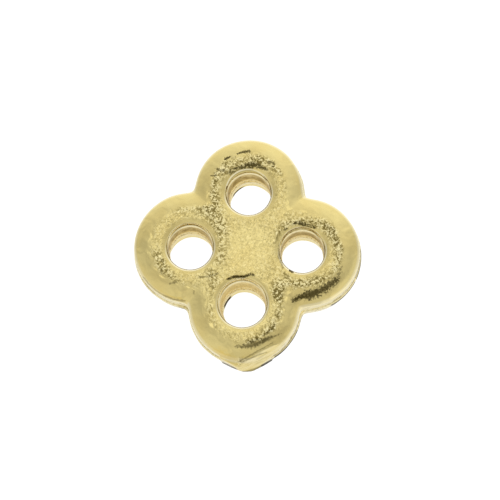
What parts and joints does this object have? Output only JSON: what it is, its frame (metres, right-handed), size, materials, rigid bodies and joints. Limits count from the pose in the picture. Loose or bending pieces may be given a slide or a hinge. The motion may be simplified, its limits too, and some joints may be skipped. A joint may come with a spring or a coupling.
{
  "type": "adjustable slider clasp",
  "caption": "Small gold clover-shaped slider casting with a round hole through each lobe, which cords run through and grip, to shorten or lengthen a bracelet or necklace.",
  "frame": {"origin": "middle of the flat back face, midway between the four holes", "axes": "+Z out of the front face, along the holes; -Y towards the lobe with the clipped gate; +X towards the right-hand lobe seen from the front"},
  "size_m": [0.0122, 0.0123, 0.003],
  "materials": {
    "gold_plate": "gold plate over a rough zinc casting, burnished smooth on the shoulders"
  },
  "bodies": {
    "root": {"clover_casting": "gold_plate"}
  },
  "joints": []
}
